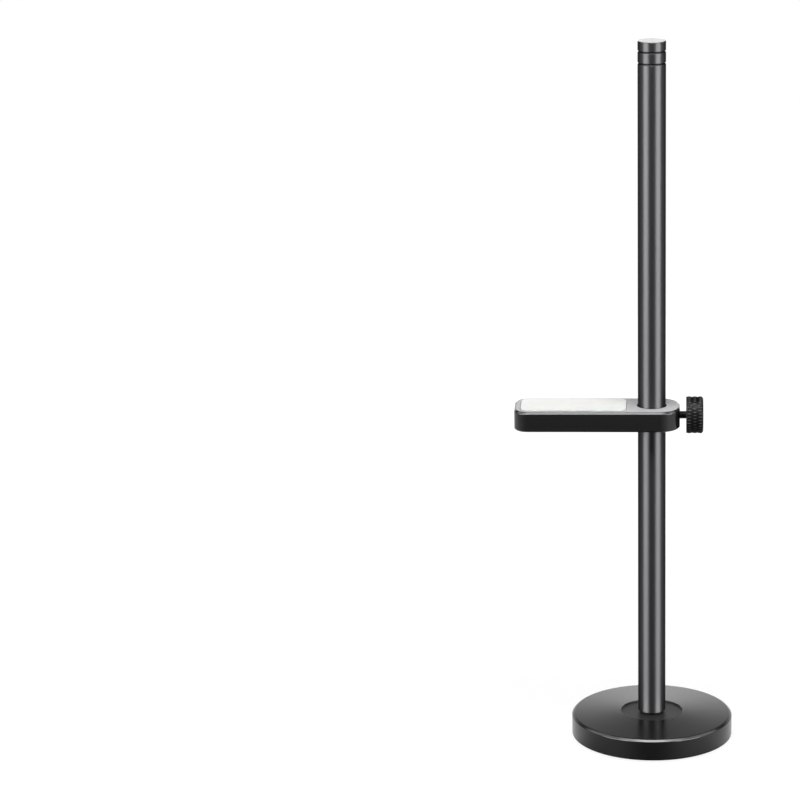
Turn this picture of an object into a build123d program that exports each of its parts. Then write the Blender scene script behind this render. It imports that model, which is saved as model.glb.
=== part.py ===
from build123d import *
import os
from math import atan, degrees, pi, radians, tan

# Free-standing support bracket: a round weighted base, a column, and an arm that a thumb screw clamps to it.
# Sizes are in millimetres. The origin is on the floor under the column's axis and +Z is up.
# The arm reaches towards -X, and the thumb screw stands out of its nose towards +X.

# Base, turned from steel, with a slight taper on top and a shallow seat for the column
base_diameter = 64.5
base_rim_height = 8.55  # from the underside to the corner that the rim chamfer takes off
base_rim_chamfer = 0.8
base_rim_radius = 0.5  # rounds both edges of the rim chamfer
base_taper_rise = 1.33  # of the whole taper, from the rim's corner to the axis
seat_diameter = 24.8
seat_depth = 0.43  # below the edge that it leaves in the taper

# Rubber foot pad, let into the underside
foot_pad_diameter = 56.0
foot_pad_thickness = 1.8
foot_pad_proud = 0.8
foot_pad_gap = 0.2  # all round, inside its pocket

# Column
column_diameter = 11.0
column_length = 274.2
column_top_chamfer = 0.2
column_foot_chamfer = 1.0
groove_width = 0.9
groove_depth = 0.45
groove_drop = 4.05  # from the top end to the upper groove
groove_spacing = 4.6

# Low head M6 socket screw, from under the base into the foot of the column
screw_diameter = 6.0
screw_length = 16.0
screw_head_diameter = 10.0
screw_head_height = 4.0
screw_socket_width = 4.0
screw_socket_depth = 2.3
screw_head_sink = 0.5  # from the pad's pocket up to the head
screw_head_gap = 0.5
screw_hole_gap = 0.3
screw_thread_gap = 0.05
screw_hole_spare = 3.0  # hole left free beyond the screw's tip

# Arm
arm_height = 138.5  # of its top face over the floor
arm_reach = 54.3  # from the column's axis to the far end
arm_nose_reach = 11.1  # from the column's axis to the end with the thumb screw
arm_width = 22.0
arm_thickness = 8.2
arm_corner_radius = 5.5  # at the far end
arm_nose_radius = 8.0
arm_top_chamfer = 0.85
arm_bottom_chamfer = 0.5
bore_gap = 0.06  # all round, so that the arm slides on the column
bore_chamfer = 0.4

# Soft pad, let into the top of the arm
pad_margin = 2.3  # from the outline of the arm to the pocket
pad_column_distance = 9.8  # from the column's axis to the end of the pocket
pad_corner_radius = 3.2
pad_pocket_depth = 1.2
pad_proud = 0.4
pad_edge_chamfer = 0.3
pad_gap = 0.2

# Thumb screw: an M3 stud with a knurled knob
stud_diameter = 3.0
clamp_drop = 3.95  # from the top face of the arm to the stud's axis
stud_column_gap = 0.05
stud_thread_gap = 0.05
knob_diameter = 14.85  # of the blank, before it is knurled
knob_width = 6.7
knob_arm_gap = 2.5
knob_chamfer = 0.8  # of its outer end
knob_bore_depth = 5.0
knob_bore_gap = 0.03
knurl_count = 35
knurl_depth = 0.5
knurl_angle = 116.0  # between the two sides of a groove
knurl_pitch = 4.0  # from one diamond to the next along the knob

# Heights and places that follow from them
base_bottom = foot_pad_proud
base_corner = base_bottom + base_rim_height
base_radius = base_diameter / 2
base_apex = base_corner + base_taper_rise
seat_height = base_apex - base_taper_rise * seat_diameter / base_diameter - seat_depth
column_radius = column_diameter / 2
column_top = seat_height + column_length
pad_pocket_roof = foot_pad_thickness
screw_head_bottom = pad_pocket_roof + screw_head_sink
screw_head_top = screw_head_bottom + screw_head_height
screw_tip = screw_head_top + screw_length
arm_bottom = arm_height - arm_thickness
clamp_height = arm_height - clamp_drop
bore_radius = column_radius + bore_gap
knob_start = arm_nose_reach + knob_arm_gap
stud_start = column_radius + stud_column_gap
stud_end = knob_start + knob_bore_depth


def turned(*outline):
    return revolve(Plane.XZ * make_face(Polyline(*outline, close=True)), Axis.Z)


def upright(diameter, low, high):
    return Pos(0, 0, low) * extrude(Circle(diameter / 2), high - low)


def across(place):
    return Plane(origin=(place, 0, clamp_height), z_dir=(1, 0, 0))


def along_x(diameter, start, end):
    return across(start) * extrude(Circle(diameter / 2), end - start)


def base_weight():
    rim = (base_radius, base_corner)
    section = make_face(Polyline((0, base_bottom), (base_radius, base_bottom), rim, (0, base_apex), close=True))
    section = chamfer(section.vertices().sort_by_distance(rim)[0], base_rim_chamfer)
    section = fillet(section.vertices().sort_by_distance(rim)[:2], base_rim_radius)
    weight = revolve(Plane.XZ * section, Axis.Z)
    weight -= upright(seat_diameter, seat_height, base_apex)
    weight -= upright(foot_pad_diameter + 2 * foot_pad_gap, base_bottom, pad_pocket_roof)
    weight -= upright(screw_head_diameter + 2 * screw_head_gap, pad_pocket_roof, screw_head_top)
    weight -= upright(screw_diameter + 2 * screw_hole_gap, screw_head_top, seat_height)
    return weight


def foot_pad():
    return upright(foot_pad_diameter, 0, foot_pad_thickness)


def column():
    outline = [(0, seat_height), (column_radius - column_foot_chamfer, seat_height)]
    outline.append((column_radius, seat_height + column_foot_chamfer))
    for drop in (groove_drop + groove_spacing, groove_drop):
        middle = column_top - drop
        outline.append((column_radius, middle - groove_width / 2))
        outline.append((column_radius - groove_depth, middle))
        outline.append((column_radius, middle + groove_width / 2))
    outline.append((column_radius, column_top - column_top_chamfer))
    outline.append((column_radius - column_top_chamfer, column_top))
    outline.append((0, column_top))
    thread_hole = upright(screw_diameter + 2 * screw_thread_gap, seat_height, screw_tip + screw_hole_spare)
    return turned(*outline) - thread_hole


def column_screw():
    head = upright(screw_head_diameter, screw_head_bottom, screw_head_top)
    shank = upright(screw_diameter, screw_head_top, screw_tip)
    socket = RegularPolygon(screw_socket_width / 2, 6, major_radius=False)
    return head + shank - Pos(0, 0, screw_head_bottom) * extrude(socket, screw_socket_depth)


def pad_outline(gap):
    length = arm_reach - pad_margin - pad_column_distance
    middle = pad_column_distance + length / 2
    width = arm_width - 2 * pad_margin
    return Pos(-middle, 0) * RectangleRounded(length - 2 * gap, width - 2 * gap, pad_corner_radius - gap)


def support_arm():
    outline = Pos((arm_nose_reach - arm_reach) / 2, 0) * Rectangle(arm_reach + arm_nose_reach, arm_width)
    outline = fillet(outline.vertices().group_by(Axis.X)[0], arm_corner_radius)
    outline = fillet(outline.vertices().group_by(Axis.X)[-1], arm_nose_radius)
    arm = Pos(0, 0, arm_bottom) * extrude(outline, arm_thickness)
    arm = chamfer(arm.edges().group_by(Axis.Z)[-1], arm_top_chamfer)
    arm = chamfer(arm.edges().group_by(Axis.Z)[0], arm_bottom_chamfer)
    arm -= turned(
        (0, arm_bottom),
        (bore_radius + bore_chamfer, arm_bottom),
        (bore_radius, arm_bottom + bore_chamfer),
        (bore_radius, arm_height - bore_chamfer),
        (bore_radius + bore_chamfer, arm_height),
        (0, arm_height),
    )
    arm -= Pos(0, 0, arm_height - pad_pocket_depth) * extrude(pad_outline(0), pad_pocket_depth)
    return arm - along_x(stud_diameter + 2 * stud_thread_gap, 0, arm_nose_reach)


def arm_pad():
    floor = arm_height - pad_pocket_depth
    pad = Pos(0, 0, floor) * extrude(pad_outline(pad_gap), pad_pocket_depth + pad_proud)
    return chamfer(pad.edges().group_by(Axis.Z)[-1], pad_edge_chamfer)


def clamp_stud():
    return along_x(stud_diameter, stud_start, stud_end)


def knurl_grooves(lean):
    overshoot = knurl_depth  # carries the cutter's section clear of the knob
    reach = knob_diameter / 2 + overshoot
    root = knob_diameter / 2 - knurl_depth
    half_width = (reach - root) * tan(radians(knurl_angle / 2))
    section = make_face(Polyline((root, 0), (reach, half_width), (reach, -half_width), close=True))
    cutter = Rot(lean, 0, 0) * extrude(section, knob_width, both=True)
    return [place * cutter for place in PolarLocations(0, knurl_count)]


def clamp_knob():
    knob = extrude(Circle(knob_diameter / 2), knob_width / 2, both=True)
    knob = chamfer(knob.edges().sort_by(Axis.Z)[-1], knob_chamfer)
    lean = degrees(atan(pi * knob_diameter / knurl_count / knurl_pitch))
    for side in (lean, -lean):
        knob -= knurl_grooves(side)
    knob = across(knob_start + knob_width / 2) * knob
    return knob - along_x(stud_diameter + 2 * knob_bore_gap, knob_start, stud_end)


pieces = [base_weight, foot_pad, column, column_screw, support_arm, arm_pad, clamp_stud, clamp_knob]
os.makedirs("parts", exist_ok=True)
for piece in pieces:
    export_step(piece(), f"parts/{piece.__name__}.step")
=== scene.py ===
from math import cos, pi, radians, sin

import bmesh
import bpy
from mathutils import Matrix, Vector


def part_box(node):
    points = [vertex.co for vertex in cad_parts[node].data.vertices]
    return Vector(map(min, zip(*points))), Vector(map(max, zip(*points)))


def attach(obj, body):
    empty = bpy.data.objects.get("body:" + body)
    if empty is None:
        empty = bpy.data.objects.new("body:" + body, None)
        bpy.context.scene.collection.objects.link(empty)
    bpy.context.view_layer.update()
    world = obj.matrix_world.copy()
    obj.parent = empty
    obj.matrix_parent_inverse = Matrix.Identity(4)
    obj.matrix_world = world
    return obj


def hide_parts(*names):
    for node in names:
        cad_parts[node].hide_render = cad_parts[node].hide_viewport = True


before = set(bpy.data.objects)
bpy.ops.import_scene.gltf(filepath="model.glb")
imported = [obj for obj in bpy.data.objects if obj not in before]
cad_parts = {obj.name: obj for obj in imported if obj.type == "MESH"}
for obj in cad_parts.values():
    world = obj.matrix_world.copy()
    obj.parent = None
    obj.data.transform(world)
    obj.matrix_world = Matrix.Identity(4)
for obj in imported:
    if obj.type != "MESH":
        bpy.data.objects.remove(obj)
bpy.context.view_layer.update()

mm = 0.001  # pieces are modelled in millimetres and scaled once, when they are finished
scene = bpy.context.scene

# a Mix node has sockets for numbers, vectors and colours under the same names, so they go by their places
mixFactor = 0
vectorA, vectorB, vectorOut = 4, 5, 1
colourA, colourB, colourOut = 6, 7, 2


def hexColour(code):
    # from sRGB to linear
    channels = [int(code[i : i + 2], 16) / 255 for i in (1, 3, 5)]
    return (*[c / 12.92 if c <= 0.04045 else ((c + 0.055) / 1.055) ** 2.4 for c in channels], 1.0)


def linkInputs(tree, node, links):
    for key, source in links.items():
        tree.links.new(source, node.inputs[key])


def addNode(tree, kind, settings=None, links=None):
    # a whole number as a key is a socket's place
    node = tree.nodes.new(kind)
    for key, value in (settings or {}).items():
        if isinstance(key, int) or key in node.inputs:
            node.inputs[key].default_value = value
        else:
            setattr(node, key, value)
    linkInputs(tree, node, links or {})
    return node


def newMaterial(name, settings):
    material = bpy.data.materials.new(name)
    material.use_nodes = True
    tree = material.node_tree
    tree.nodes.clear()
    shader = addNode(tree, "ShaderNodeBsdfPrincipled", settings)
    addNode(tree, "ShaderNodeOutputMaterial", links={"Surface": shader.outputs["BSDF"]})
    place = addNode(tree, "ShaderNodeTexCoord").outputs["Object"]
    return material, tree, shader, place


def grainScale(size):
    return 1 / (size * mm)  # Object coordinates are in metres


def axisDistance(tree, place, across, location=(0, 0, 0)):
    # across holds a 0 for the direction of the axis
    flat = addNode(
        tree, "ShaderNodeMapping", {"Location": location, "Scale": across}, {"Vector": place}
    )
    distance = addNode(
        tree, "ShaderNodeVectorMath", {"operation": "LENGTH"}, {"Vector": flat.outputs["Vector"]}
    )
    return distance.outputs["Value"]


# materials: sizes and depths in millimetres
# real grain, grit and dust are too fine to show here, so they are drawn as coarse as they need to show

columnFinish = {
    "dye": "#3a3a3b",
    "worn": "#3f3f40",
    "grooveShade": "#1c1c1d",
    "grooveShadeFrom": 0.05,  # depth under the bar's surface where the painted groove shade begins
    "grooveShadeTo": 0.35,
    "paintedTopEndLight": "#a8a8a9",  # painted light: pale grey on the top end, for the light it catches from above
    "facedDepth": 0.05,
    "glint": "#aaaaaa",  # tint of its reflections at flat angles
    "grain": 0.6,
    "lines": 0.9,
    "lineLength": 50,  # times their width
    "smoothest": 0.45,
    "roughest": 0.48,
    "bump": 0.05,
    "bumpHeight": 0.02,
}


def anodisedBar(finish, surfaceRadius, topHeight):
    # drawn aluminium bar, satin black anodised: dark metal with soft long highlights and no bright rim
    material, tree, shader, place = newMaterial(
        "Satin black anodised bar",
        {
            "Specular Tint": hexColour(finish["glint"]),
            "Anisotropic": 0.85,
            "Anisotropic Rotation": 0.25,
        },
    )
    grain = addNode(
        tree, "ShaderNodeTexNoise", {"Scale": grainScale(finish["grain"]), "Detail": 4.0}, {"Vector": place}
    )
    # drawing lines run along the bar, so the pattern is stretched along Z
    stretched = addNode(
        tree, "ShaderNodeMapping", {"Scale": (1, 1, 1 / finish["lineLength"])}, {"Vector": place}
    )
    lines = addNode(
        tree,
        "ShaderNodeTexNoise",
        {"Scale": grainScale(finish["lines"]), "Detail": 3.0},
        {"Vector": stretched.outputs["Vector"]},
    )
    tone = addNode(
        tree,
        "ShaderNodeMix",
        {"data_type": "RGBA", colourA: hexColour(finish["dye"]), colourB: hexColour(finish["worn"])},
        {mixFactor: lines.outputs["Fac"]},
    )
    # painted shade: the grooves are painted darker than the bar's surface, for the shade that falls in them
    surface = addNode(
        tree,
        "ShaderNodeMapRange",
        {
            "From Min": surfaceRadius - finish["grooveShadeTo"] * mm,
            "From Max": surfaceRadius - finish["grooveShadeFrom"] * mm,
        },
        {"Value": axisDistance(tree, place, (1, 1, 0))},
    )
    grooveShaded = addNode(
        tree,
        "ShaderNodeMix",
        {"data_type": "RGBA", colourA: hexColour(finish["grooveShade"])},
        {mixFactor: surface.outputs["Result"], colourB: tone.outputs[colourOut]},
    )
    # the top end is faced on a lathe, with no lines along the bar; its pale grey is painted light, for the
    # light it catches from above
    split = addNode(tree, "ShaderNodeSeparateXYZ", links={"Vector": place})
    topEnd = addNode(
        tree,
        "ShaderNodeMath",
        {"operation": "GREATER_THAN", 1: topHeight - finish["facedDepth"] * mm},
        {0: split.outputs["Z"]},
    ).outputs["Value"]
    colour = addNode(
        tree,
        "ShaderNodeMix",
        {"data_type": "RGBA", colourB: hexColour(finish["paintedTopEndLight"])},
        {mixFactor: topEnd, colourA: grooveShaded.outputs[colourOut]},
    )
    metal = addNode(tree, "ShaderNodeMath", {"operation": "SUBTRACT", 0: 1.0}, {1: topEnd})
    around = addNode(tree, "ShaderNodeTangent", {"direction_type": "RADIAL", "axis": "Z"})
    tangent = addNode(
        tree,
        "ShaderNodeMix",
        {"data_type": "VECTOR", vectorB: (0, 1, 0)},
        {mixFactor: topEnd, vectorA: around.outputs["Tangent"]},
    )
    rough = addNode(
        tree,
        "ShaderNodeMapRange",
        {"To Min": finish["smoothest"], "To Max": finish["roughest"]},
        {"Value": grain.outputs["Fac"]},
    )
    bump = addNode(
        tree,
        "ShaderNodeBump",
        {"Strength": finish["bump"], "Distance": finish["bumpHeight"] * mm},
        {"Height": grain.outputs["Fac"]},
    )
    outcome = {
        "Base Color": colour.outputs[colourOut],
        "Metallic": metal.outputs["Value"],
        "Tangent": tangent.outputs[vectorOut],
        "Roughness": rough.outputs["Result"],
        "Normal": bump.outputs["Normal"],
    }
    linkInputs(tree, shader, outcome)
    return material


armFinish = {
    "dye": "#252526",
    "worn": "#2a2a2b",
    "top": "#b4b4b6",
    "paintedTopLightGrit": "#bebec0",
    "topBand": 0.03,  # depth of the top face that is painted pale
    "topRough": 0.56,  # over the roughness of the sides
    "grit": 0.45,
    "smoothest": 0.12,
    "roughest": 0.16,
    "bump": 0.06,
    "bumpHeight": 0.03,
}


def blastedAnodised(finish, topHeight):
    # milled aluminium, finely blasted and black anodised: black sides with a soft sheen; the dull top face
    # is painted a pale grey for the light that falls on it from above
    material, tree, shader, place = newMaterial(
        "Bead blasted black anodised aluminium", {"IOR": 1.5, "Specular IOR Level": 0.5}
    )
    grit = addNode(
        tree, "ShaderNodeTexNoise", {"Scale": grainScale(finish["grit"]), "Detail": 2.0}, {"Vector": place}
    ).outputs["Fac"]
    tone = addNode(
        tree,
        "ShaderNodeMix",
        {"data_type": "RGBA", colourA: hexColour(finish["dye"]), colourB: hexColour(finish["worn"])},
        {mixFactor: grit},
    )
    # painted light: the top face is painted pale grey, as if lit from above, with grit in it
    paintedTopLight = addNode(
        tree,
        "ShaderNodeMix",
        {"data_type": "RGBA", colourA: hexColour(finish["top"]), colourB: hexColour(finish["paintedTopLightGrit"])},
        {mixFactor: grit},
    )
    split = addNode(tree, "ShaderNodeSeparateXYZ", links={"Vector": place})
    onTop = addNode(
        tree,
        "ShaderNodeMath",
        {"operation": "GREATER_THAN", 1: topHeight - finish["topBand"] * mm},
        {0: split.outputs["Z"]},
    ).outputs["Value"]
    colour = addNode(
        tree,
        "ShaderNodeMix",
        {"data_type": "RGBA"},
        {mixFactor: onTop, colourA: tone.outputs[colourOut], colourB: paintedTopLight.outputs[colourOut]},
    )
    sides = addNode(
        tree,
        "ShaderNodeMapRange",
        {"To Min": finish["smoothest"], "To Max": finish["roughest"]},
        {"Value": grit},
    )
    rough = addNode(
        tree,
        "ShaderNodeMath",
        {"operation": "MULTIPLY_ADD", 1: finish["topRough"]},
        {0: onTop, 2: sides.outputs["Result"]},
    )
    bump = addNode(
        tree,
        "ShaderNodeBump",
        {"Strength": finish["bump"], "Distance": finish["bumpHeight"] * mm},
        {"Height": grit},
    )
    outcome = {
        "Base Color": colour.outputs[colourOut],
        "Roughness": rough.outputs["Value"],
        "Normal": bump.outputs["Normal"],
    }
    linkInputs(tree, shader, outcome)
    return material


baseFinish = {
    "coat": "#0b0b0c",
    "thin": "#111112",
    "seatRough": 0.3,  # over the roughness of the rest
    "peel": 1.6,
    "dust": 0.35,
    "smoothest": 0.2,
    "roughest": 0.26,
    "bump": 0.06,
    "bumpHeight": 0.02,
}


def powderCoat(finish, seatRadius):
    # satin black powder coat on steel: slight orange peel, even sheen that brightens at flat angles
    material, tree, shader, place = newMaterial(
        "Satin black powder coat", {"IOR": 1.5, "Specular IOR Level": 0.5}
    )
    peel = addNode(
        tree, "ShaderNodeTexNoise", {"Scale": grainScale(finish["peel"]), "Detail": 1.0}, {"Vector": place}
    )
    dust = addNode(
        tree, "ShaderNodeTexNoise", {"Scale": grainScale(finish["dust"]), "Detail": 2.0}, {"Vector": place}
    )
    tone = addNode(
        tree,
        "ShaderNodeMix",
        {"data_type": "RGBA", colourA: hexColour(finish["coat"]), colourB: hexColour(finish["thin"])},
        {mixFactor: dust.outputs["Fac"]},
    )
    # the coat is duller in the seat
    inSeat = addNode(
        tree,
        "ShaderNodeMath",
        {"operation": "LESS_THAN", 1: seatRadius},
        {0: axisDistance(tree, place, (1, 1, 0))},
    )
    coat = addNode(
        tree,
        "ShaderNodeMapRange",
        {"To Min": finish["smoothest"], "To Max": finish["roughest"]},
        {"Value": dust.outputs["Fac"]},
    )
    rough = addNode(
        tree,
        "ShaderNodeMath",
        {"operation": "MULTIPLY_ADD", 1: finish["seatRough"]},
        {0: inSeat.outputs["Value"], 2: coat.outputs["Result"]},
    )
    bump = addNode(
        tree,
        "ShaderNodeBump",
        {"Strength": finish["bump"], "Distance": finish["bumpHeight"] * mm},
        {"Height": peel.outputs["Fac"]},
    )
    outcome = {
        "Base Color": tone.outputs[colourOut],
        "Roughness": rough.outputs["Value"],
        "Normal": bump.outputs["Normal"],
    }
    linkInputs(tree, shader, outcome)
    return material


padFinish = {
    "rubber": "#f7f7f5",
    "shade": "#ededea",
    "skin": 0.5,  # depth that light reaches
    "mottle": 3.0,
    "grain": 0.4,
    "smoothest": 0.55,
    "roughest": 0.7,
    "bump": 0.15,
    "bumpHeight": 0.03,
}


def siliconePad(finish):
    # moulded off-white silicone: matt, soft, a little light passes under its skin
    material, tree, shader, place = newMaterial(
        "Moulded off-white silicone",
        {"IOR": 1.41, "Subsurface Weight": 0.1, "Subsurface Scale": finish["skin"] * mm},
    )
    mottle = addNode(
        tree,
        "ShaderNodeTexNoise",
        {"Scale": grainScale(finish["mottle"]), "Detail": 3.0},
        {"Vector": place},
    )
    grain = addNode(
        tree, "ShaderNodeTexNoise", {"Scale": grainScale(finish["grain"]), "Detail": 2.0}, {"Vector": place}
    )
    tone = addNode(
        tree,
        "ShaderNodeMix",
        {"data_type": "RGBA", colourA: hexColour(finish["rubber"]), colourB: hexColour(finish["shade"])},
        {mixFactor: mottle.outputs["Fac"]},
    )
    rough = addNode(
        tree,
        "ShaderNodeMapRange",
        {"To Min": finish["smoothest"], "To Max": finish["roughest"]},
        {"Value": mottle.outputs["Fac"]},
    )
    bump = addNode(
        tree,
        "ShaderNodeBump",
        {"Strength": finish["bump"], "Distance": finish["bumpHeight"] * mm},
        {"Height": grain.outputs["Fac"]},
    )
    outcome = {
        "Base Color": tone.outputs[colourOut],
        "Roughness": rough.outputs["Result"],
        "Normal": bump.outputs["Normal"],
    }
    linkInputs(tree, shader, outcome)
    return material


knobFinish = {
    "dye": "#050506",
    "crest": "#707072",
    "crestBand": 0.27,  # depth under the crests that is painted pale as a highlight
    "grain": 0.5,
    "smoothest": 0.3,
    "roughest": 0.4,
}


def knurledAnodised(finish, axisHeight, crestRadius):
    # knurled aluminium, black anodised: dark satin facets, with painted highlights on the crests
    material, tree, shader, place = newMaterial(
        "Knurled black anodised aluminium", {"IOR": 1.5, "Specular IOR Level": 0.15}
    )
    paintedCrestHighlight = addNode(
        tree,
        "ShaderNodeMapRange",
        {"From Min": crestRadius - finish["crestBand"] * mm, "From Max": crestRadius},
        {"Value": axisDistance(tree, place, (0, 1, 1), (0, 0, -axisHeight))},
    )
    tone = addNode(
        tree,
        "ShaderNodeMix",
        {"data_type": "RGBA", colourA: hexColour(finish["dye"]), colourB: hexColour(finish["crest"])},
        {mixFactor: paintedCrestHighlight.outputs["Result"]},
    )
    grain = addNode(
        tree, "ShaderNodeTexNoise", {"Scale": grainScale(finish["grain"]), "Detail": 2.0}, {"Vector": place}
    )
    rough = addNode(
        tree,
        "ShaderNodeMapRange",
        {"To Min": finish["smoothest"], "To Max": finish["roughest"]},
        {"Value": grain.outputs["Fac"]},
    )
    linkInputs(tree, shader, {"Base Color": tone.outputs[colourOut], "Roughness": rough.outputs["Result"]})
    return material


oxideFinish = {"oxide": "#1c1c1d", "oil": "#2a292b", "patch": 0.8, "smoothest": 0.35, "roughest": 0.55}


def blackOxide(finish):
    # steel blackened by hot oxide and oiled: near black, with faint lighter and duller patches
    material, tree, shader, place = newMaterial("Oiled black oxide steel", {"Metallic": 1.0})
    patch = addNode(
        tree, "ShaderNodeTexNoise", {"Scale": grainScale(finish["patch"]), "Detail": 4.0}, {"Vector": place}
    )
    tone = addNode(
        tree,
        "ShaderNodeMix",
        {"data_type": "RGBA", colourA: hexColour(finish["oxide"]), colourB: hexColour(finish["oil"])},
        {mixFactor: patch.outputs["Fac"]},
    )
    rough = addNode(
        tree,
        "ShaderNodeMapRange",
        {"To Min": finish["smoothest"], "To Max": finish["roughest"]},
        {"Value": patch.outputs["Fac"]},
    )
    linkInputs(tree, shader, {"Base Color": tone.outputs[colourOut], "Roughness": rough.outputs["Result"]})
    return material


footFinish = {
    "rubber": "#141414",
    "bloom": "#242423",
    "grain": 0.5,
    "smoothest": 0.75,
    "roughest": 0.9,
    "bump": 0.3,
    "bumpHeight": 0.05,
}


def footRubber(finish):
    # pressed black rubber sheet: dull, with a pale bloom in its fine grain
    material, tree, shader, place = newMaterial(
        "Pressed black rubber", {"IOR": 1.52, "Specular IOR Level": 0.3}
    )
    grain = addNode(
        tree, "ShaderNodeTexNoise", {"Scale": grainScale(finish["grain"]), "Detail": 5.0}, {"Vector": place}
    ).outputs["Fac"]
    tone = addNode(
        tree,
        "ShaderNodeMix",
        {"data_type": "RGBA", colourA: hexColour(finish["rubber"]), colourB: hexColour(finish["bloom"])},
        {mixFactor: grain},
    )
    rough = addNode(
        tree,
        "ShaderNodeMapRange",
        {"To Min": finish["smoothest"], "To Max": finish["roughest"]},
        {"Value": grain},
    )
    bump = addNode(
        tree,
        "ShaderNodeBump",
        {"Strength": finish["bump"], "Distance": finish["bumpHeight"] * mm},
        {"Height": grain},
    )
    outcome = {
        "Base Color": tone.outputs[colourOut],
        "Roughness": rough.outputs["Result"],
        "Normal": bump.outputs["Normal"],
    }
    linkInputs(tree, shader, outcome)
    return material


# modelling helpers, all in millimetres

shaping = {
    "outlineSegments": 5,  # in a rounding of a spun outline
    "slabSegments": 14,  # in a corner of a slab
    "sameHeight": 0.001,
    "poleMerge": 0.0001,  # closes the poles of a spun outline
    "sharpAngle": 32,  # degrees, past which an edge stays sharp
}


def nodeBox(node):
    low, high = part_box(node)
    return low / mm, high / mm


def bevel(bm, geom, offset, segments, affect="EDGES"):
    bmesh.ops.bevel(
        bm, geom=geom, offset=offset, affect=affect, segments=segments, profile=0.5, material=-1
    )


def spinOutline(bm, points, rounded, steps, closed=False):
    # points are (radius, height); rounded maps a point's number to the length that its rounding takes
    verts = [bm.verts.new((radius, 0, height)) for radius, height in points]
    follow = verts[1:] + verts[:1] if closed else verts[1:]
    for pair in zip(verts, follow):
        bm.edges.new(pair)
    for number, length in rounded.items():
        bevel(bm, [verts[number]], length, shaping["outlineSegments"], "VERTICES")
    bmesh.ops.spin(
        bm,
        geom=bm.verts[:] + bm.edges[:],
        cent=(0, 0, 0),
        axis=(0, 0, 1),
        angle=2 * pi,
        steps=steps,
        use_merge=True,
    )
    bmesh.ops.remove_doubles(bm, verts=bm.verts, dist=shaping["poleMerge"])
    bmesh.ops.recalc_face_normals(bm, faces=bm.faces)


def raiseFace(bm, height):
    raised = bmesh.ops.extrude_face_region(bm, geom=bm.faces[:])["geom"]
    top = [v for v in raised if isinstance(v, bmesh.types.BMVert)]
    bmesh.ops.translate(bm, vec=(0, 0, height), verts=top)
    bmesh.ops.recalc_face_normals(bm, faces=bm.faces)


def roundedSlab(bm, corners, radius, low, high):
    # corners are (x, y) in order round the slab
    face = bm.faces.new([bm.verts.new((x, y, low)) for x, y in corners])
    bevel(bm, face.verts[:], radius, shaping["slabSegments"], "VERTICES")
    raiseFace(bm, high - low)


def edgesAt(bm, height):
    return [e for e in bm.edges if all(abs(v.co.z - height) < shaping["sameHeight"] for v in e.verts)]


def newObject(bm, name):
    bmesh.ops.scale(bm, vec=(mm, mm, mm), verts=bm.verts)
    mesh = bpy.data.meshes.new(name)
    bm.to_mesh(mesh)
    bm.free()
    piece = bpy.data.objects.new(name, mesh)
    scene.collection.objects.link(piece)
    return piece


def cutAway(piece, cutters):
    for cutter in cutters:
        cut = piece.modifiers.new("Cut", "BOOLEAN")
        cut.operation = "DIFFERENCE"
        cut.solver = "EXACT"
        cut.object = cutter
    shaped = piece.evaluated_get(bpy.context.evaluated_depsgraph_get())
    mesh = bpy.data.meshes.new_from_object(shaped)
    piece.modifiers.clear()
    piece.data = mesh
    for cutter in cutters:
        bpy.data.objects.remove(cutter)


def finishPiece(piece, material, node, body, sharpAngle=shaping["sharpAngle"]):
    piece.data.materials.clear()
    piece.data.materials.append(material)
    piece.data.shade_smooth()
    piece.data.set_sharp_from_angle(angle=radians(sharpAngle))
    weighted = piece.modifiers.new("Weighted normals", "WEIGHTED_NORMAL")
    weighted.keep_sharp = True
    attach(piece, body)
    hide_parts(node)
    print(f"{piece.name}: {len(piece.data.polygons)} faces, rides on {body}")


# base

basePart = {
    "rimHeight": 8.55,
    "rimChamfer": 0.8,
    "rimRounding": 0.21,  # length that it takes from both sides of the rim chamfer's upper edge
    "rimFootRounding": 0.08,  # and of its lower edge
    "taperRise": 1.33,
    "crownDiameter": 44.0,
    "crownRise": 0.04,  # over the straight taper
    "crownRounding": 9.0,
    "seatDiameter": 24.8,
    "seatDepth": 0.43,
    "seatFillet": 0.25,  # left in the corner of the seat by the tool's round nose
    "pocketDiameter": 56.4,
    "pocketDepth": 1.0,
    "headHoleDiameter": 11.0,
    "headHoleTop": 6.3,
    "shankHoleDiameter": 6.6,
    "footRounding": 0.2,
    "steps": 256,
}


def makeBase(part):
    low, high = nodeBox("base_weight")
    radius = high.x
    corner = low.z + part["rimHeight"]
    slope = part["taperRise"] / radius
    seatRadius = part["seatDiameter"] / 2
    seatEdge = corner + slope * (radius - seatRadius)
    seat = seatEdge - part["seatDepth"]
    pocketRoof = low.z + part["pocketDepth"]
    chamfer = part["rimChamfer"]
    crown = part["crownDiameter"] / 2
    outline = [
        (part["shankHoleDiameter"] / 2, seat),
        (seatRadius, seat),
        (seatRadius, seatEdge),
        (crown, corner + slope * (radius - crown) + part["crownRise"]),
        (radius - chamfer, corner + slope * chamfer),
        (radius, corner - chamfer),
        (radius, low.z),
        (part["pocketDiameter"] / 2, low.z),
        (part["pocketDiameter"] / 2, pocketRoof),
        (part["headHoleDiameter"] / 2, pocketRoof),
        (part["headHoleDiameter"] / 2, part["headHoleTop"]),
        (part["shankHoleDiameter"] / 2, part["headHoleTop"]),
    ]
    rounded = {
        1: part["seatFillet"],
        3: part["crownRounding"],
        4: part["rimRounding"],
        5: part["rimFootRounding"],
        6: part["footRounding"],
    }
    bm = bmesh.new()
    spinOutline(bm, outline, rounded, part["steps"], closed=True)
    base = newObject(bm, "base")
    finishPiece(base, powderCoat(baseFinish, seatRadius * mm), "base_weight", "base")


makeBase(basePart)

# foot pad

footPart = {"edgeRounding": 0.3, "steps": 160}


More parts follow.
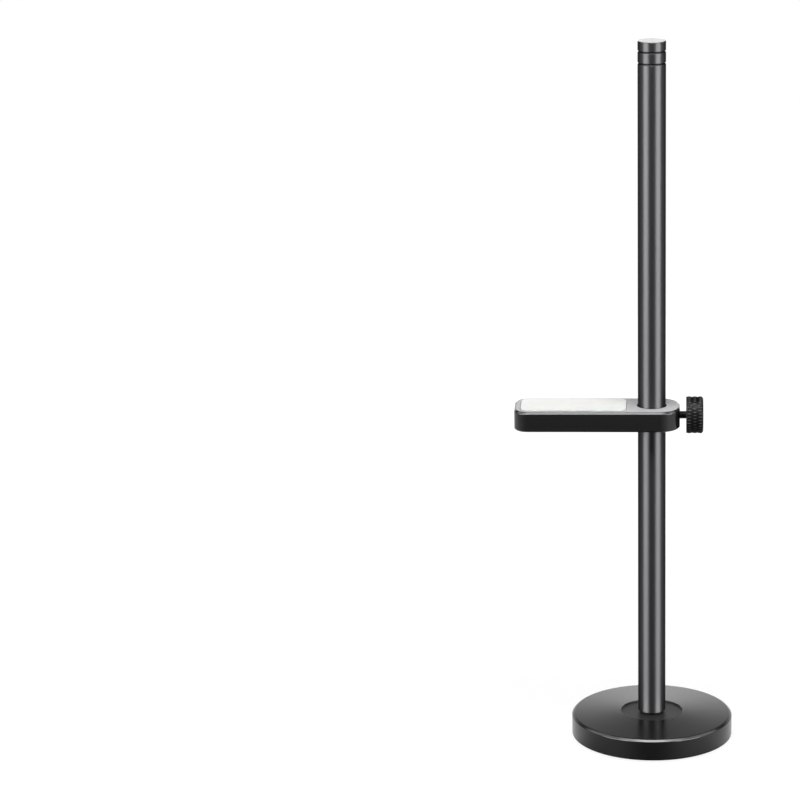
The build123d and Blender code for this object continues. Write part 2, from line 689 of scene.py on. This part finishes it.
def makeFoot(part):
    low, high = nodeBox("foot_pad")
    outline = [(0, low.z), (high.x, low.z), (high.x, high.z), (0, high.z)]
    bm = bmesh.new()
    spinOutline(bm, outline, {1: part["edgeRounding"]}, part["steps"])
    foot = newObject(bm, "footPad")
    finishPiece(foot, footRubber(footFinish), "foot_pad", "base")


makeFoot(footPart)

# column

columnPart = {
    "footChamfer": 1.0,
    "topChamfer": 0.2,
    "grooveWidth": 0.9,
    "grooveDepth": 0.45,
    "grooveDrop": 4.05,
    "grooveSpacing": 4.6,
    "screwHoleDiameter": 6.1,
    "screwHoleTop": 25.3,
    "edgeRounding": 0.08,
    "steps": 128,
}


def makeColumn(part):
    low, high = nodeBox("column")
    radius = high.x
    hole = part["screwHoleDiameter"] / 2
    outline = [(0, part["screwHoleTop"]), (hole, part["screwHoleTop"]), (hole, low.z)]
    firstRounded = len(outline)  # the screw hole stays as it is drilled
    outline.append((radius - part["footChamfer"], low.z))
    outline.append((radius, low.z + part["footChamfer"]))
    for drop in (part["grooveDrop"] + part["grooveSpacing"], part["grooveDrop"]):
        middle = high.z - drop
        outline.append((radius, middle - part["grooveWidth"] / 2))
        outline.append((radius - part["grooveDepth"], middle))
        outline.append((radius, middle + part["grooveWidth"] / 2))
    outline.append((radius, high.z - part["topChamfer"]))
    outline.append((radius - part["topChamfer"], high.z))
    rounded = {number: part["edgeRounding"] for number in range(firstRounded, len(outline))}
    outline.append((0, high.z))
    bm = bmesh.new()
    spinOutline(bm, outline, rounded, part["steps"])
    column = newObject(bm, "column_tube")
    finish = anodisedBar(columnFinish, radius * mm, high.z * mm)
    finishPiece(column, finish, "column", "column")


makeColumn(columnPart)

# arm

armPart = {
    "cornerRadius": 5.5,
    "noseRadius": 8.0,
    "cornerSegments": 24,
    "topChamfer": 0.85,
    "bottomChamfer": 0.5,
    "edgeRounding": 0.12,
    "edgeSegments": 3,
    "boreDiameter": 11.12,
    "boreChamfer": 0.4,
    "boreSteps": 96,
    "pocketMargin": 2.3,
    "pocketColumnDistance": 9.8,
    "pocketRadius": 3.2,
    "pocketDepth": 1.2,
    "studHoleDiameter": 3.1,
    "studHoleSegments": 48,
    "past": 1.0,  # cutters reach this far out of the arm
}


def pocketCorners(part, gap):
    low, high = nodeBox("support_arm")
    side = high.y - part["pocketMargin"] - gap
    left = low.x + part["pocketMargin"] + gap
    right = -part["pocketColumnDistance"] - gap
    return [(left, -side), (right, -side), (right, side), (left, side)]


def armBar(part, low, high):
    bm = bmesh.new()
    nose = [bm.verts.new((high.x, y, low.z)) for y in (low.y, high.y)]
    far = [bm.verts.new((low.x, y, low.z)) for y in (high.y, low.y)]
    bm.faces.new(nose + far)
    bevel(bm, nose, part["noseRadius"], part["cornerSegments"], "VERTICES")
    bevel(bm, far, part["cornerRadius"], part["cornerSegments"], "VERTICES")
    raiseFace(bm, high.z - low.z)
    bevel(bm, edgesAt(bm, high.z), part["topChamfer"], segments=1)
    bevel(bm, edgesAt(bm, low.z), part["bottomChamfer"], segments=1)
    edges = []
    for height in (high.z, high.z - part["topChamfer"], low.z + part["bottomChamfer"], low.z):
        edges += edgesAt(bm, height)
    bevel(bm, edges, part["edgeRounding"], part["edgeSegments"])
    return newObject(bm, "arm")


def boreCutter(part, low, high):
    radius = part["boreDiameter"] / 2
    chamfer, past = part["boreChamfer"], part["past"]
    flare = radius + chamfer + past  # the chamfer runs on at 45 degrees
    outline = [
        (0, low.z - past),
        (flare, low.z - past),
        (radius, low.z + chamfer),
        (radius, high.z - chamfer),
        (flare, high.z + past),
        (0, high.z + past),
    ]
    bm = bmesh.new()
    spinOutline(bm, outline, {}, part["boreSteps"])
    return newObject(bm, "boreCut")


def pocketCutter(part, high):
    bm = bmesh.new()
    floor = high.z - part["pocketDepth"]
    roundedSlab(bm, pocketCorners(part, 0), part["pocketRadius"], floor, high.z + part["past"])
    return newObject(bm, "pocketCut")


def studHoleCutter(part, high):
    studLow, studHigh = nodeBox("clamp_stud")
    axisHeight = (studLow.z + studHigh.z) / 2
    length = high.x + part["past"]
    radius = part["studHoleDiameter"] / 2
    bm = bmesh.new()
    bmesh.ops.create_cone(
        bm,
        cap_ends=True,
        segments=part["studHoleSegments"],
        radius1=radius,
        radius2=radius,
        depth=length,
        matrix=Matrix.Translation((length / 2, 0, axisHeight)) @ Matrix.Rotation(pi / 2, 4, "Y"),
    )
    return newObject(bm, "holeCut")


def makeArm(part):
    low, high = nodeBox("support_arm")
    arm = armBar(part, low, high)
    cutAway(arm, [boreCutter(part, low, high), pocketCutter(part, high), studHoleCutter(part, high)])
    finishPiece(arm, blastedAnodised(armFinish, high.z * mm), "support_arm", "arm")


makeArm(armPart)

# arm pad

padPart = {"gap": 0.2, "edgeRounding": 0.3, "edgeSegments": 4}


def makePad(part):
    low, high = nodeBox("arm_pad")
    radius = armPart["pocketRadius"] - part["gap"]
    bm = bmesh.new()
    roundedSlab(bm, pocketCorners(armPart, part["gap"]), radius, low.z, high.z)
    bevel(bm, edgesAt(bm, high.z), part["edgeRounding"], part["edgeSegments"])
    pad = newObject(bm, "pad")
    finishPiece(pad, siliconePad(padFinish), "arm_pad", "arm")


makePad(padPart)

# thumb screw

blackSteel = blackOxide(oxideFinish)  # the column screw has it too

studPart = {
    "pitch": 0.5,
    "threadDepth": 0.07,
    "crestFrom": 0.35,  # the ridge's flat crest, as shares of the pitch
    "crestTo": 0.65,
    "steps": 36,  # round one turn
}


def makeStud(part):
    # a spun ridge leaves its ends and its core open, so the thread is laid out here as one closed mesh
    low, high = nodeBox("clamp_stud")
    axisHeight = (low.z + high.z) / 2
    length = high.x - low.x
    pitch, steps = part["pitch"], part["steps"]
    crest = high.y
    root = crest - part["threadDepth"]
    turns = int(length / pitch) - 1
    last = turns * steps
    lead = (length - (turns + 1) * pitch) / 2  # plain length before and after the thread
    bm = bmesh.new()

    def ringPoint(radius, step, along):
        angle = 2 * pi * step / steps
        return bm.verts.new((low.x + along, radius * cos(angle), axisHeight + radius * sin(angle)))

    def helix(radius, count, share):
        return [ringPoint(radius, k, lead + pitch * (k / steps + share)) for k in range(count)]

    # one valley runs on along the whole thread, and each ridge stands between two of its turns
    valley = helix(root, last + steps + 1, 0)
    ridgeFrom = helix(crest, last + 1, part["crestFrom"])
    ridgeTo = helix(crest, last + 1, part["crestTo"])
    for k in range(last):
        bm.faces.new((valley[k], valley[k + 1], ridgeFrom[k + 1], ridgeFrom[k]))
        bm.faces.new((ridgeFrom[k], ridgeFrom[k + 1], ridgeTo[k + 1], ridgeTo[k]))
        bm.faces.new((ridgeTo[k], ridgeTo[k + 1], valley[k + 1 + steps], valley[k + steps]))
    for k in (0, last):
        bm.faces.new((valley[k], ridgeFrom[k], ridgeTo[k], valley[k + steps]))
    # plain ends
    start = [ringPoint(root, k, 0) for k in range(steps)]
    end = [ringPoint(root, k, length) for k in range(steps)]
    for k in range(steps - 1):
        bm.faces.new((start[k], start[k + 1], valley[k + 1], valley[k]))
    bm.faces.new((start[-1], start[0], valley[0], valley[steps], valley[steps - 1]))
    for k in range(1, steps):
        bm.faces.new((valley[last + k], valley[last + k + 1], end[(k + 1) % steps], end[k]))
    bm.faces.new((valley[last], valley[last + 1], end[1], end[0], valley[last + steps]))
    bm.faces.new(start)
    bm.faces.new(end)
    bmesh.ops.recalc_face_normals(bm, faces=bm.faces)
    stud = newObject(bm, "stud")
    finishPiece(stud, blackSteel, "clamp_stud", "stud")


makeStud(studPart)

knobPart = {
    "merge": 0.001,
    "flatAngle": 1,  # degrees, under which triangles are joined to one facet
    "crestAngle": 12,  # degrees, past which an edge between facets is a crest
    "crestRounding": 0.03,
    "crestSegments": 2,
    "sharpAngle": 25,
}


def makeKnob(part):
    # the knurl is taken from the solid, and only its crests are rounded
    low, high = nodeBox("clamp_knob")
    bm = bmesh.new()
    bm.from_mesh(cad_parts["clamp_knob"].data)
    bmesh.ops.scale(bm, vec=(1 / mm, 1 / mm, 1 / mm), verts=bm.verts)
    bmesh.ops.remove_doubles(bm, verts=bm.verts, dist=part["merge"])
    bmesh.ops.dissolve_limit(bm, angle_limit=radians(part["flatAngle"]), verts=bm.verts, edges=bm.edges)
    crestAngle = radians(part["crestAngle"])
    crests = [e for e in bm.edges if e.is_manifold and e.calc_face_angle_signed() > crestAngle]
    bevel(bm, crests, part["crestRounding"], part["crestSegments"])
    knob = newObject(bm, "knob")
    axisHeight = (low.z + high.z) / 2 * mm
    finish = knurledAnodised(knobFinish, axisHeight, high.y * mm)
    finishPiece(knob, finish, "clamp_knob", "knob", part["sharpAngle"])


makeKnob(knobPart)

# the column screw is hidden over the foot pad and keeps its own solid

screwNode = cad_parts["column_screw"]
screwNode.data.materials.clear()
screwNode.data.materials.append(blackSteel)
print("column screw: its own solid, in black steel")

# stage: places and sizes in metres, glow against a white background of 1


def reflectionRays(tree, path):
    return addNode(
        tree,
        "ShaderNodeMath",
        {"operation": "MAXIMUM"},
        {0: path.outputs["Is Glossy Ray"], 1: path.outputs["Is Transmission Ray"]},
    ).outputs["Value"]


floorPart = {
    "radius": 0.7,
    "segments": 96,
    "drop": 0.05,  # mm, so that it isn't in one plane with the foot pad
    "colour": "#6a6a6a",
    "nearGlow": 0.9,  # round the object, where the lamps add the rest and the shadow stays
    "farGlow": 1.0,
    "fadeFrom": 0.12,  # distance from the column where the near glow ends and where the far one begins
    "fadeTo": 0.35,
    "shine": 0.82,  # glow that reflections see behind the object, and none straight in front
    "shineWay": (0.087, 0.996, 0),  # a little right of straight back
    "shineFrom": -1.0,  # cosine of the angle to that way, where the glow begins and where it is full
    "shineTo": -0.3,
    "shineLean": (0.4, 0, 0),  # added to the cosine for each metre, so that the right is lighter
}


def makeFloor(part):
    bm = bmesh.new()
    bmesh.ops.create_circle(bm, cap_ends=True, segments=part["segments"], radius=part["radius"] / mm)
    bmesh.ops.translate(bm, vec=(0, 0, -part["drop"]), verts=bm.verts)
    floor = newObject(bm, "floor")
    # matt grey floor with a glow that makes it as white to the camera as the background
    material = bpy.data.materials.new("White studio floor")
    material.use_nodes = True
    tree = material.node_tree
    tree.nodes.clear()
    matt = addNode(tree, "ShaderNodeBsdfDiffuse", {"Color": hexColour(part["colour"])})
    place = addNode(tree, "ShaderNodeTexCoord").outputs["Object"]
    radius = addNode(tree, "ShaderNodeVectorMath", {"operation": "LENGTH"}, {"Vector": place})
    glow = addNode(
        tree,
        "ShaderNodeMapRange",
        {
            "interpolation_type": "SMOOTHSTEP",
            "From Min": part["fadeFrom"],
            "From Max": part["fadeTo"],
            "To Min": part["nearGlow"],
            "To Max": part["farGlow"],
        },
        {"Value": radius.outputs["Value"]},
    )
    way = addNode(
        tree, "ShaderNodeVectorMath", {"operation": "DOT_PRODUCT", 1: part["shineWay"]}, {0: place}
    )
    cosine = addNode(
        tree,
        "ShaderNodeMath",
        {"operation": "DIVIDE"},
        {0: way.outputs["Value"], 1: radius.outputs["Value"]},
    )
    lean = addNode(
        tree, "ShaderNodeVectorMath", {"operation": "DOT_PRODUCT", 1: part["shineLean"]}, {0: place}
    )
    leaning = addNode(
        tree,
        "ShaderNodeMath",
        {"operation": "ADD"},
        {0: cosine.outputs["Value"], 1: lean.outputs["Value"]},
    )
    shine = addNode(
        tree,
        "ShaderNodeMapRange",
        {"From Min": part["shineFrom"], "From Max": part["shineTo"], "To Max": part["shine"]},
        {"Value": leaning.outputs["Value"]},
    )
    path = addNode(tree, "ShaderNodeLightPath")
    seen = addNode(
        tree,
        "ShaderNodeMath",
        {"operation": "MULTIPLY"},
        {0: glow.outputs["Result"], 1: path.outputs["Is Camera Ray"]},
    )
    strength = addNode(
        tree,
        "ShaderNodeMath",
        {"operation": "MULTIPLY_ADD"},
        {0: reflectionRays(tree, path), 1: shine.outputs["Result"], 2: seen.outputs["Value"]},
    )
    light = addNode(tree, "ShaderNodeEmission", links={"Strength": strength.outputs["Value"]})
    both = addNode(
        tree, "ShaderNodeAddShader", links={0: matt.outputs["BSDF"], 1: light.outputs["Emission"]}
    )
    addNode(tree, "ShaderNodeOutputMaterial", links={"Surface": both.outputs["Shader"]})
    floor.data.materials.append(material)


makeFloor(floorPart)

worldPart = {
    "colour": "#ffffff",
    "fill": 0.2,  # light on matt surfaces
    "dark": 0.08,  # what reflections see overhead and in front
    "upFrom": 0.2,  # height of a direction, where it begins to darken and where it is dark
    "upTo": 0.42,
    "backFrom": -0.4,  # depth of a direction, where it begins to lighten and where it is white
    "backTo": 0.3,
}


def makeWorld(part):
    world = bpy.data.worlds.new("Studio")
    world.use_nodes = True
    scene.world = world
    tree = world.node_tree
    tree.nodes.clear()
    direction = addNode(tree, "ShaderNodeTexCoord").outputs["Generated"]
    split = addNode(tree, "ShaderNodeSeparateXYZ", links={"Vector": direction})
    # the background is white to the camera; reflections of it fade out overhead and towards the dark front
    upward = addNode(
        tree,
        "ShaderNodeMapRange",
        {
            "interpolation_type": "SMOOTHSTEP",
            "From Min": part["upFrom"],
            "From Max": part["upTo"],
            "To Min": 1.0,
            "To Max": part["dark"],
        },
        {"Value": split.outputs["Z"]},
    )
    backward = addNode(
        tree,
        "ShaderNodeMapRange",
        {
            "interpolation_type": "SMOOTHSTEP",
            "From Min": part["backFrom"],
            "From Max": part["backTo"],
            "To Min": part["dark"],
            "To Max": 1.0,
        },
        {"Value": split.outputs["Y"]},
    )
    shade = addNode(
        tree,
        "ShaderNodeMath",
        {"operation": "MINIMUM"},
        {0: upward.outputs["Result"], 1: backward.outputs["Result"]},
    )
    path = addNode(tree, "ShaderNodeLightPath")
    camera = path.outputs["Is Camera Ray"]
    strength = addNode(
        tree, "ShaderNodeMath", {"operation": "MAXIMUM"}, {0: shade.outputs["Value"], 1: camera}
    )
    background = addNode(
        tree,
        "ShaderNodeBackground",
        {"Color": hexColour(part["colour"])},
        {"Strength": strength.outputs["Value"]},
    )
    fill = addNode(
        tree, "ShaderNodeBackground", {"Color": hexColour(part["colour"]), "Strength": part["fill"]}
    )
    shown = addNode(
        tree, "ShaderNodeMath", {"operation": "MAXIMUM"}, {0: reflectionRays(tree, path), 1: camera}
    )
    mixed = addNode(
        tree,
        "ShaderNodeMixShader",
        links={
            0: shown.outputs["Value"],
            1: fill.outputs["Background"],
            2: background.outputs["Background"],
        },
    )
    addNode(tree, "ShaderNodeOutputWorld", links={"Surface": mixed.outputs["Shader"]})


makeWorld(worldPart)
print("stage: floor and world")

# lamps: places and sizes in metres, radiance against a white background of 1
# each faces the column's axis at the height of its aim
# a panel shows only in reflections, so that it draws a highlight and leaves the colours as they are

softBoxes = {
    "frontBox": {"place": (0, -0.40, 1.13), "aim": 0.14, "size": (1.4, 0.36), "radiance": 7.9},
}
panels = {
    "rimPanel": {"place": (0, -0.45, 1.12), "aim": 0.14, "size": (0.6, 0.2), "radiance": 14},
    "leftSky": {"place": (-1.1, 0.1, 1.1), "aim": 0.14, "size": (0.9, 0.9), "radiance": 2.5},
    "rightSky": {"place": (1.1, 0.1, 1.1), "aim": 0.14, "size": (0.9, 0.9), "radiance": 2.5},
    "leftPanel": {"place": (-2.28, -1.95, 0.55), "aim": 0.55, "size": (2.2, 1.1), "radiance": 37},
    "rightPanel": {"place": (2.40, -1.80, 0.55), "aim": 0.55, "size": (2.2, 1.1), "radiance": 37},
    "backPanel": {"place": (0, 3.0, 0.51), "aim": 0.51, "size": (1.6, 1.02), "radiance": 1.35},
}


def makeLamp(name, lamp, lightsMatt):
    light = bpy.data.lights.new(name, "AREA")
    light.shape = "RECTANGLE"
    light.size, light.size_y = lamp["size"]
    light.energy = lamp["radiance"] * pi * light.size * light.size_y
    holder = bpy.data.objects.new(name, light)
    holder.location = lamp["place"]
    sight = Vector((0, 0, lamp["aim"])) - Vector(lamp["place"])
    holder.rotation_euler = sight.to_track_quat("-Z", "Y").to_euler()
    holder.visible_camera = False
    holder.visible_diffuse = lightsMatt
    scene.collection.objects.link(holder)


for name, lamp in softBoxes.items():
    makeLamp(name, lamp, lightsMatt=True)
for name, lamp in panels.items():
    makeLamp(name, lamp, lightsMatt=False)
print(f"lamps: {len(softBoxes)} soft box, {len(panels)} panels")

# camera, a long lens from a little above, with the object right of the middle

cameraPart = {
    "distance": 1279.32,  # mm in front of the column
    "height": 493.80,  # mm
    "pitchDown": 15.434,  # degrees
    "turnLeft": 4.3039,
    "focalPixels": 3345.28,
    "imageWidth": 800,  # pixels
    "sensorWidth": 36.0,  # mm
}


def makeCamera(part):
    camera = bpy.data.cameras.new("camera")
    camera.sensor_width = part["sensorWidth"]
    camera.lens = part["focalPixels"] * part["sensorWidth"] / part["imageWidth"]
    holder = bpy.data.objects.new("camera", camera)
    tilt = Matrix.Rotation(radians(90 - part["pitchDown"]), 4, "X")
    turn = Matrix.Rotation(radians(part["turnLeft"]), 4, "Y")
    place = Matrix.Translation((0, -part["distance"] * mm, part["height"] * mm))
    holder.matrix_world = place @ tilt @ turn
    scene.collection.objects.link(holder)
    scene.camera = holder
    print(f"camera: {camera.lens:.1f} mm lens")


makeCamera(cameraPart)

scene.view_settings.view_transform = "Standard"
